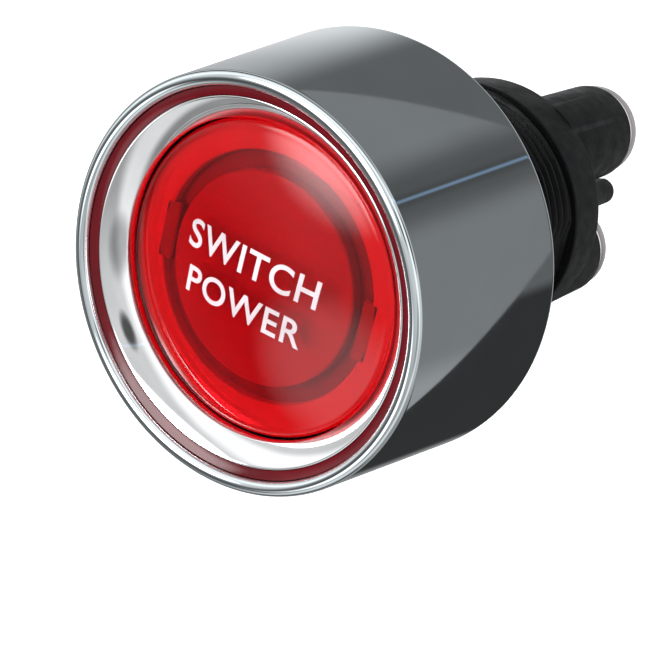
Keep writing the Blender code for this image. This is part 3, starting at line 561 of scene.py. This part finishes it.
def make_barrel(looks):
    """The moulded body: flange and front cup, and a barrel with a real helical thread and two flats."""
    low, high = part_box("housing")
    crest = 11.0 * MM
    root = 10.35 * MM
    pitch = 1.0 * MM
    first = 0.2 * MM
    last = high.y - 0.05 * MM
    bore = 9.2 * MM
    rows_per_turn = 12
    run_in, run_out = 1.5, 3.0       # how fast the crest rises and falls at the ends, per turn
    half_width = 10.3 * MM           # between the axis and a flat
    flat_front = -1.1 * MM
    flange, flange_rear, flange_front = 15.7 * MM, -1.2 * MM, -3.0 * MM
    cup, cup_inner, cup_floor = 13.8 * MM, 12.5 * MM, -3.6 * MM
    guide, guide_rear = 2.5 * MM, -2.0 * MM
    outline = [
        (root, flange_rear), (flange, flange_rear), (flange, flange_front), (cup, flange_front),
        (cup, low.y), (cup_inner, low.y), (cup_inner, cup_floor), (guide, cup_floor),
        (guide, guide_rear), (bore, guide_rear), (bore, high.y), (root, high.y),
    ]
    rows = int((last - first) / pitch * rows_per_turn)
    threaded = [(root, last - (last - first) * row / rows) for row in range(rows + 1)]
    bm = spin(outline + threaded)
    for vert in bm.verts:
        if first - 1e-7 < vert.co.y < last + 1e-7 and math.hypot(vert.co.x, vert.co.z) > bore + MM:
            turn = math.atan2(vert.co.z, vert.co.x) / math.tau
            travelled = (vert.co.y - first) / pitch
            left = (last - vert.co.y) / pitch
            fade = max(0.0, min(1.0, travelled * run_in, left * run_out))
            height = thread_profile(travelled - turn) * fade
            radius = root + (crest - root) * height
            vert.co.x = radius * math.cos(turn * math.tau)
            vert.co.z = radius * math.sin(turn * math.tau)
        if vert.co.y > flat_front and math.hypot(vert.co.x, vert.co.z) > bore + 0.5 * MM:
            vert.co.x = max(-half_width, min(half_width, vert.co.x))
    barrel = collect("barrel_body", bm, looks["housing"], sharp=40.0)
    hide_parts("housing")
    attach(barrel, "switch_body")


def make_gasket(looks):
    """The rubber ring under the flange, with the rib round its edge that seals on the panel."""
    low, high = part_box("panel_gasket")
    inner = 11.4 * MM
    rib_inner = 14.6 * MM
    face = high.y - 0.2 * MM
    outline = rounded([(inner, low.y, 0.1 * MM), (high.x, low.y, 0.15 * MM), (high.x, high.y, 0.15 * MM),
                       (rib_inner, high.y, 0.08 * MM), (rib_inner, face, 0.05 * MM), (inner, face, 0.1 * MM)])
    gasket = turned("gasket_ring", outline, looks["rubber"])
    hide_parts("panel_gasket")
    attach(gasket, "switch_body")


def make_nut(looks):
    """The moulded hexagonal nut with turned chamfers and a bore chamfered at both mouths, its thread not
    modelled.
    """
    low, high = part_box("panel_nut")
    corner = high.x
    chamfer = 0.55 * MM
    bore_radius = 11.3 * MM
    mouth_radius = 12.0 * MM
    bm = bmesh.new()
    corners = [polar(corner * 1.01, 60 * side) for side in range(6)]
    face = bm.faces.new([bm.verts.new((x, low.y, z)) for x, z in corners])
    raised = bmesh.ops.extrude_face_region(bm, geom=[face])["geom"]
    moved = [part for part in raised if isinstance(part, bmesh.types.BMVert)]
    bmesh.ops.translate(bm, vec=(0, high.y - low.y, 0), verts=moved)
    nut = collect("nut_hex", bm, looks["nut"])
    outer = turned("nut_turning", [
        (0.0, low.y - MM), (corner - chamfer, low.y - 0.2 * MM), (corner, low.y + chamfer),
        (corner, high.y - chamfer), (corner - chamfer, high.y + 0.2 * MM), (0.0, high.y + MM)], looks["nut"])
    combine(nut, [outer], "INTERSECT")
    bore = turned("nut_boring", [
        (0.0, low.y - MM), (mouth_radius, low.y - 0.3 * MM), (bore_radius, low.y + 0.4 * MM),
        (bore_radius, high.y - 0.4 * MM), (mouth_radius, high.y + 0.3 * MM), (0.0, high.y + MM)],
        looks["nut"])
    combine(nut, [bore], "DIFFERENCE")
    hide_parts("panel_nut")
    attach(nut, "nut")


def rib_points():
    """The three-armed rib's outline: hollow sides round the posts, round tips."""
    hollow = POST_RADIUS + 0.5 * MM
    reach = 6.0 * MM
    half = 1.2 * MM
    spacing = 120.0
    tip_steps, hollow_steps = 12, 16
    across_to_post = POST_PITCH_RADIUS * math.sin(math.radians(spacing / 2)) - half
    hollow_span = spacing - math.degrees(math.asin(across_to_post / hollow))
    points = []
    for arm in sorted(degrees + spacing / 2 for degrees in POSTS.values()):
        for step in range(tip_steps + 1):
            angle = math.radians(-90 + 180 * step / tip_steps)
            along = reach - half + half * math.cos(angle)
            across = half * math.sin(angle)
            points.append(polar(math.hypot(along, across), arm + math.degrees(math.atan2(across, along))))
        post_x, post_z = polar(POST_PITCH_RADIUS, arm + spacing / 2)
        for step in range(hollow_steps + 1):
            turn = hollow_span * (1 - 2 * step / hollow_steps)
            x, z = polar(hollow, arm + spacing / 2 + 180.0 + turn)
            points.append((post_x + x, post_z + z))
    return points


def make_base(looks):
    """The rear moulding: disc, posts and rib in one piece."""
    low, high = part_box("terminal_base")
    radius = 10.74 * MM
    flare = high.x
    disc_front = 15.1 * MM
    disc_rear = 19.85 * MM
    spigot = 8.8 * MM
    guide_hole = 2.6 * MM
    guide_depth = 3.4 * MM
    post_rear = 30.1 * MM
    well_radius = 3.2 * MM
    well_floor = post_rear - 4.0 * MM
    sunk = 0.4 * MM
    base = turned("base_moulding", rounded([
        (0.0, disc_rear, 0.0), (radius, disc_rear, 0.25 * MM), (radius, disc_front + 0.6 * MM, 0.3 * MM),
        (flare, disc_front + 0.15 * MM, 0.08 * MM), (flare - 0.1 * MM, disc_front, 0.0),
        (spigot, disc_front, 0.1 * MM), (spigot, low.y, 0.1 * MM), (guide_hole, low.y, 0.0),
        (guide_hole, low.y + guide_depth, 0.0), (0.0, low.y + guide_depth, 0.0)]), looks["base"])
    tools = []
    rib = bmesh.new()
    face = rib.faces.new([rib.verts.new((x, disc_rear - sunk, z)) for x, z in rib_points()])
    raised = bmesh.ops.extrude_face_region(rib, geom=[face])["geom"]
    moved = [part for part in raised if isinstance(part, bmesh.types.BMVert)]
    bmesh.ops.translate(rib, vec=(0, high.y - disc_rear + sunk, 0), verts=moved)
    tip_edges = [edge for edge in rib.edges if all(vert in moved for vert in edge.verts)]
    bmesh.ops.bevel(rib, geom=tip_edges, offset=0.12 * MM, segments=2, affect="EDGES", profile=0.5)
    tools.append(collect("rib_part", rib, looks["base"]))
    for name, degrees in POSTS.items():
        post = turned(f"post_part_{name}", rounded([
            (0.0, disc_rear - sunk, 0.0), (POST_RADIUS, disc_rear - sunk, 0.0),
            (POST_RADIUS, post_rear, 0.2 * MM), (well_radius, post_rear, 0.0), (well_radius, well_floor, 0.0),
            (0.0, well_floor, 0.0)]), looks["base"], MEDIUM)
        x, z = polar(POST_PITCH_RADIUS, degrees)
        post.location = (x, 0.0, z)
        tools.append(post)
    bpy.context.view_layer.update()
    combine(base, tools, "UNION")
    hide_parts("terminal_base")
    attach(base, "switch_body")


def make_screw(name, looks):
    """A domed terminal screw with a tapered cross recess and one slot right across."""
    low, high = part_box(f"terminal_screw_{name}")
    shank = 1.7 * MM
    head = 4.05 * MM
    recess = 1.2 * MM
    under = 30.4 * MM
    rim = 31.4 * MM
    dome = high.y - rim
    outline = [(0.0, low.y), (shank, low.y), (shank, under)]
    outline += [(head - 0.1 * MM, under), (head, under + 0.1 * MM), (head, rim - 0.05 * MM)]
    outline += arc((0.0, rim), (head, dome), 0, 90, 16)[1:-1] + [(0.0, high.y)]
    screw = turned(f"screw_{name}", outline, looks["nickel"], MEDIUM)
    tools = []
    # Each cutter: its length and width, how much of the length it keeps at its floor, and its turn.
    for part, length, width, kept, quarter in (("slot", 10.0 * MM, 0.9 * MM, 1.0, 0.0),
                                               ("cross", 4.4 * MM, 0.85 * MM, 0.55, 90.0)):
        bm = bmesh.new()
        bmesh.ops.create_cube(bm, size=1.0)
        for vert in bm.verts:
            if vert.co.y > 0:
                vert.co = (vert.co.x * length, high.y + 0.6 * MM, vert.co.z * width * 1.15)
            else:
                vert.co = (vert.co.x * length * kept, high.y - recess, vert.co.z * width * 0.8)
        turn = Matrix.Rotation(math.radians(-(POSTS[name] + SLOT_TURNS[name] + quarter)), 3, "Y")
        bmesh.ops.rotate(bm, cent=(0, 0, 0), verts=bm.verts, matrix=turn)
        tools.append(collect(f"{part}_part_{name}", bm, looks["nickel"]))
    centre = turned(f"centre_part_{name}", [
        (0.0, high.y - 2.1 * MM), (0.45 * MM, high.y - 1.9 * MM), (1.15 * MM, high.y + 0.5 * MM),
        (0.0, high.y + 0.5 * MM)], looks["nickel"], 16)
    tools.append(centre)
    combine(screw, tools, "DIFFERENCE")
    x, z = polar(POST_PITCH_RADIUS, POSTS[name])
    screw.location = (x, 0.0, z)
    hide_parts(f"terminal_screw_{name}")
    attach(screw, "switch_body")


def make_spring(name, node, body, coil_radius, wire, turns, looks):
    """A compression spring of round wire with closed ends."""
    low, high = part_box(node)
    around = 10
    per_turn = 28
    steps = turns * per_turn
    start = low.y + wire
    climb = high.y - low.y - 2 * wire
    bm = bmesh.new()
    rings = []
    for step in range(steps + 1):
        share = step / steps
        eased = share * share * (3 - 2 * share)
        depth = start + climb * (0.5 * share + 0.5 * eased)
        angle = math.tau * turns * share
        centre = Vector((coil_radius * math.cos(angle), depth, coil_radius * math.sin(angle)))
        outward = Vector((math.cos(angle), 0.0, math.sin(angle)))
        ring = []
        for side in range(around):
            turn = math.tau * side / around
            offset = outward * (wire * math.cos(turn)) + Vector((0.0, wire * math.sin(turn), 0.0))
            ring.append(bm.verts.new(centre + offset))
        rings.append(ring)
    for ring, following in zip(rings, rings[1:]):
        for side in range(around):
            after = (side + 1) % around
            bm.faces.new((ring[side], ring[after], following[after], following[side]))
    bm.faces.new(rings[0])
    bm.faces.new(rings[-1])
    spring = collect(name, bm, looks["spring"])
    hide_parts(node)
    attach(spring, body)
    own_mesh(spring)


def make_springs(looks):
    """The springs behind the button and behind the plunger."""
    make_spring("return_coil", "return_spring", "switch_body", coil_radius=4.6 * MM, wire=0.4 * MM,
                turns=5, looks=looks)
    make_spring("contact_coil", "contact_spring", "button", coil_radius=2.9 * MM, wire=0.3 * MM,
                turns=3, looks=looks)


def dress_cad(looks):
    """Finishes for the CAD pieces that keep their shape."""
    finishes = {
        # The button carrier takes the groove's darker red, which is painted shade.
        "lens_seal": "rubber", "lock_washer": "steel", "button_carrier": "groove", "plunger": "nylon",
        "lens_clip_left": "clip", "lens_clip_right": "clip", "retaining_clip": "steel",
        "contact_disc": "copper",
        "fixed_contact_start": "silver", "fixed_contact_supply": "silver", "supply_strip": "brass",
        "ground_strip": "brass", "terminal_insert_start": "brass", "terminal_insert_supply": "brass",
        "terminal_insert_ground": "brass", "led_board": "board", "led_1": "lamp", "led_2": "lamp",
        "led_3": "lamp", "resistor": "resistor",
    }
    for name, look in finishes.items():
        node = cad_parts[name]
        node.data.materials.clear()
        node.data.materials.append(looks[look])


# ---- studio ----

def direction(azimuth, elevation):
    """A unit vector. Azimuth 0 is towards -Y and 90 towards +X."""
    azimuth = math.radians(azimuth)
    elevation = math.radians(elevation)
    return Vector((math.sin(azimuth) * math.cos(elevation), -math.cos(azimuth) * math.cos(elevation),
                   math.sin(elevation)))


# The bezel's cone shows a narrow belt of the studio, placed by the Y of a direction.
RIM_Y = 0.725                    # what the cone's front rim shows
RIM_LEAN = 0.0225                # how far that Y swings round the rim
RIM_LEAN_ANGLE = 40.0
Y_PER_MM = 0.0033                # the change in Y over one mm of the cone's depth

# The studio. Angles are about the switch's axis, in degrees from +X towards +Z. Levels are linear.
WALL = 0.13
WALL_DARK = 0.035                # the lower right of the room
WALL_DARK_ANGLE = -60.0
WALL_WHITE = 0.5                 # its left
WALL_WHITE_ANGLE = -165.0
CARD = 0.22                      # a straight-edged grey card behind the switch
CARD_BRIGHT = 0.34               # its lit end
CARD_BAND_ANGLE = 55.0           # the middle of the soft dark band across it
CARD_EDGES = ((125.0, -0.3), (-50.0, 0.3))      # where an edge starts, and its mm of depth per degree
STREAK_ANGLE = 53.0              # a thin bluish line of light
STREAK_LEVEL = 0.20
STRAIGHT_BEHIND = 0.45
DARK_BAND = 0.055                # between the front and the back, at the left
FLAGS = (                        # azimuth, elevation, outer and inner angle, share of light kept
    (86.0, 34.0, 17.0, 7.0, 0.15),
    (31.0, 25.0, 11.0, 4.0, 0.12),
    (53.0, -9.0, 20.0, 5.0, 0.45),
    (-48.0, -34.0, 34.0, 12.0, 0.20),
)
BOXES = (                        # azimuth, elevation, outer and inner angle, added strength
    (-18.0, 15.0, 25.0, 12.0, 11.0),
    (-14.0, -34.0, 16.0, 5.0, 1.6),
)


class Sky:
    """A short way to wire the world's light."""

    def __init__(self, tree):
        self.tree = tree
        self.place = tree.nodes.new("ShaderNodeTexCoord").outputs["Generated"]

    def feed(self, source, socket):
        if hasattr(source, "node"):
            self.tree.links.new(source, socket)
        else:
            socket.default_value = source

    def math(self, operation, first, second=0.0):
        node = self.tree.nodes.new("ShaderNodeMath")
        node.operation = operation
        self.feed(first, node.inputs[0])
        self.feed(second, node.inputs[1])
        return node.outputs[0]

    def span(self, source, low, high, first=0.0, last=1.0):
        node = self.tree.nodes.new("ShaderNodeMapRange")
        node.interpolation_type = "SMOOTHSTEP"
        for socket, value in zip(("From Min", "From Max", "To Min", "To Max"), (low, high, first, last)):
            node.inputs[socket].default_value = value
        self.feed(source, node.inputs["Value"])
        return node.outputs["Result"]

    def mix(self, factor, first, second):
        node = self.tree.nodes.new("ShaderNodeMix")
        self.feed(factor, node.inputs[0])
        self.feed(first, node.inputs[2])
        self.feed(second, node.inputs[3])
        return node.outputs[0]

    def near(self, azimuth, elevation, outer, inner, first, last):
        """A value that goes from first to last as a direction nears a given one."""
        towards = self.tree.nodes.new("ShaderNodeVectorMath")
        towards.operation = "DOT_PRODUCT"
        towards.inputs[1].default_value = direction(azimuth, elevation)
        self.feed(self.place, towards.inputs[0])
        return self.span(towards.outputs["Value"], math.cos(math.radians(outer)),
                         math.cos(math.radians(inner)), first, last)

    def noise(self, scale):
        node = self.tree.nodes.new("ShaderNodeTexNoise")
        node.inputs["Scale"].default_value = scale
        node.inputs["Detail"].default_value = 2.0
        self.feed(self.place, node.inputs["Vector"])
        return self.math("SUBTRACT", node.outputs["Fac"], 0.5)

    def facing(self, around, angle):
        """The cosine of the turn from an angle in degrees."""
        return self.math("COSINE", self.math("RADIANS", self.math("SUBTRACT", around, angle)))


def make_wall(sky, around):
    """The level of the room behind the switch: dark at the lower right, white at the left."""
    wall = sky.mix(sky.span(sky.facing(around, WALL_DARK_ANGLE), 0.6, 0.7), WALL, WALL_DARK)
    return sky.mix(sky.span(sky.facing(around, WALL_WHITE_ANGLE), 0.45, 1.0), wall, WALL_WHITE)


def make_card(sky, around, ripple):
    """The level of the grey card, with a soft dark band and a lit end."""
    from_band = sky.math("ABSOLUTE", sky.math("SUBTRACT", sky.math("ADD", around, ripple), CARD_BAND_ANGLE))
    card = sky.math("MULTIPLY", sky.span(from_band, 5.0, 25.0, 0.45, 1.0), CARD)
    return sky.mix(sky.span(around, -25.0, -45.0), card, CARD_BRIGHT)


def make_back(sky, axes, around, across):
    """The light from behind: the card in front of the room, dimmed beside the streak."""
    lean = sky.math("MULTIPLY", sky.facing(around, RIM_LEAN_ANGLE), RIM_LEAN)
    past_rim = sky.math("SUBTRACT", sky.math("ADD", axes.outputs["Y"], lean), RIM_Y)
    depth = sky.math("DIVIDE", past_rim, Y_PER_MM)      # mm behind the rim at which the cone shows it
    ripple = sky.math("MULTIPLY", sky.noise(9.0), 5.0)
    edges = [sky.math("MULTIPLY", sky.math("SUBTRACT", around, start), slope) for start, slope in CARD_EDGES]
    past = sky.math("SUBTRACT", depth, sky.math("MINIMUM", *edges))
    back = sky.mix(sky.span(past, -0.15, 0.3), make_card(sky, around, ripple), make_wall(sky, around))
    # The top lightens towards the rear, and so does all that lies straight behind.
    top = sky.span(sky.math("COSINE", sky.math("RADIANS", around)), -0.6, -1.0)
    gain = sky.math("MULTIPLY", top, sky.span(depth, 0.0, 18.0, 0.0, 0.6))
    back = sky.math("MULTIPLY", back, sky.math("ADD", 1.0, gain))
    back = sky.mix(sky.span(axes.outputs["Y"], 0.84, 0.93), back, STRAIGHT_BEHIND)
    return sky.math("MULTIPLY", back, sky.span(across, 1.2, 5.0, 0.8, 1.0))


def make_front(sky, axes):
    """The light from the front: white, darker below, with a dark band where it ends."""
    rising = sky.span(axes.outputs["Z"], -0.9, 0.1, 0.30, 0.70)
    front = sky.math("ADD", rising, sky.math("MULTIPLY", sky.noise(2.0), 0.25))
    # A bright ring round the front lights the foot of the cove.
    ring = sky.math("MULTIPLY", sky.span(axes.outputs["Y"], -0.70, -0.52),
                    sky.span(axes.outputs["Y"], -0.18, -0.34))
    front = sky.math("ADD", front, sky.math("MULTIPLY", ring, 0.5))
    # The cove shows the dark band along its rim.
    side = sky.math("ADD", axes.outputs["Y"], sky.math("MULTIPLY", sky.noise(1.6), 0.16))
    left = sky.span(axes.outputs["X"], 0.5, 0.3)
    band = sky.math("MULTIPLY", sky.span(side, -0.07, -0.03), sky.span(side, 0.26, 0.16))
    return sky.mix(sky.math("MULTIPLY", band, left), front, DARK_BAND)


def make_world():
    """A studio: white in front, a grey card and walls behind, soft boxes and a few dark flags."""
    world = bpy.data.worlds.new("studio")
    bpy.context.scene.world = world
    world.use_nodes = True
    tree = world.node_tree
    tree.nodes.clear()
    sky = Sky(tree)
    axes = tree.nodes.new("ShaderNodeSeparateXYZ")
    sky.feed(sky.place, axes.inputs["Vector"])
    around = sky.math("DEGREES", sky.math("ARCTAN2", axes.outputs["Z"], axes.outputs["X"]))
    across = sky.math("ABSOLUTE", sky.math("SUBTRACT", around, STREAK_ANGLE))
    streak = sky.span(across, 1.3, 0.1, 0.0, STREAK_LEVEL)
    back = make_back(sky, axes, around, across)
    total = sky.mix(sky.span(axes.outputs["Y"], 0.30, 0.62), make_front(sky, axes), back)
    for *place, kept in FLAGS:
        total = sky.math("MULTIPLY", total, sky.near(*place, 1.0, kept))
    for *place, strength in BOXES:
        total = sky.math("ADD", total, sky.near(*place, 0.0, strength))
    whole = tree.nodes.new("ShaderNodeCombineColor")
    for channel, tint, streak_tint in (("Red", 0.985, 0.55), ("Green", 1.0, 0.95), ("Blue", 1.01, 1.5)):
        glow = sky.math("MULTIPLY", streak, streak_tint)
        sky.feed(sky.math("ADD", sky.math("MULTIPLY", total, tint), glow), whole.inputs[channel])
    background = tree.nodes.new("ShaderNodeBackground")
    output = tree.nodes.new("ShaderNodeOutputWorld")
    sky.feed(whole.outputs["Color"], background.inputs["Color"])
    sky.feed(background.outputs["Background"], output.inputs["Surface"])


def make_floor():
    """A plain white floor, far enough below the switch to take no hard shadow."""
    bm = bmesh.new()
    bmesh.ops.create_grid(bm, x_segments=2, y_segments=2, size=FLOOR_SIZE / 2)
    material, nodes = principled("floor_white", roughness=0.9, Emission_Strength=0.55)
    cloud = nodes.noise(3.0, 2.0)
    nodes.link(nodes.tones(cloud, (0.90, 0.90, 0.90), (0.93, 0.93, 0.93)),
               nodes.shader.inputs["Base Color"])
    nodes.shader.inputs["Emission Color"].default_value = (1.0, 1.0, 1.0, 1.0)
    floor = collect("floor", bm, material)
    floor.location.z = FLOOR_HEIGHT
    floor.visible_glossy = False


def make_backdrop():
    """A plain white dome that only the camera sees, so the studio's panels stay out of every view."""
    bm = bmesh.new()
    bmesh.ops.create_uvsphere(bm, u_segments=48, v_segments=24, radius=FLOOR_SIZE / 2)
    material, nodes = principled("backdrop_white", roughness=0.9, Emission_Strength=1.0)
    cloud = nodes.noise(2.0, 2.0)
    tones = nodes.tones(cloud, (0.97, 0.97, 0.97), (1.0, 1.0, 1.0))
    nodes.link(tones, nodes.shader.inputs["Emission Color"])
    nodes.shader.inputs["Base Color"].default_value = (0.0, 0.0, 0.0, 1.0)
    backdrop = collect("backdrop", bm, material)
    backdrop.visible_diffuse = False
    backdrop.visible_glossy = False
    backdrop.visible_transmission = False
    backdrop.visible_shadow = False


def make_camera():
    """A long lens from above and to the right, rolled so that the switch leans in the frame."""
    data = bpy.data.cameras.new("camera")
    data.lens = CAMERA_LENS
    data.sensor_width = 36.0
    data.clip_start = 0.005
    data.clip_end = 20.0
    camera = bpy.data.objects.new("camera", data)
    bpy.context.scene.collection.objects.link(camera)
    look = (CAMERA_AIM - CAMERA_LOCATION).to_track_quat("-Z", "Y").to_matrix().to_4x4()
    roll = Matrix.Rotation(math.radians(CAMERA_ROLL), 4, "Z")
    camera.matrix_world = Matrix.Translation(CAMERA_LOCATION) @ look @ roll
    bpy.context.scene.camera = camera


def build():
    """Make every piece, then the studio."""
    looks = make_materials()
    make_camera()
    make_bezel(looks)
    make_trim(looks)
    make_channel(looks)
    make_lens(looks)
    make_lens_interior(looks)
    make_legend(looks)
    make_barrel(looks)
    make_gasket(looks)
    make_nut(looks)
    make_base(looks)
    for name in POSTS:
        make_screw(name, looks)
    make_springs(looks)
    dress_cad(looks)
    make_world()
    make_floor()
    make_backdrop()
    bpy.context.scene.view_settings.view_transform = "Standard"
    bpy.context.scene.view_settings.look = "None"


build()
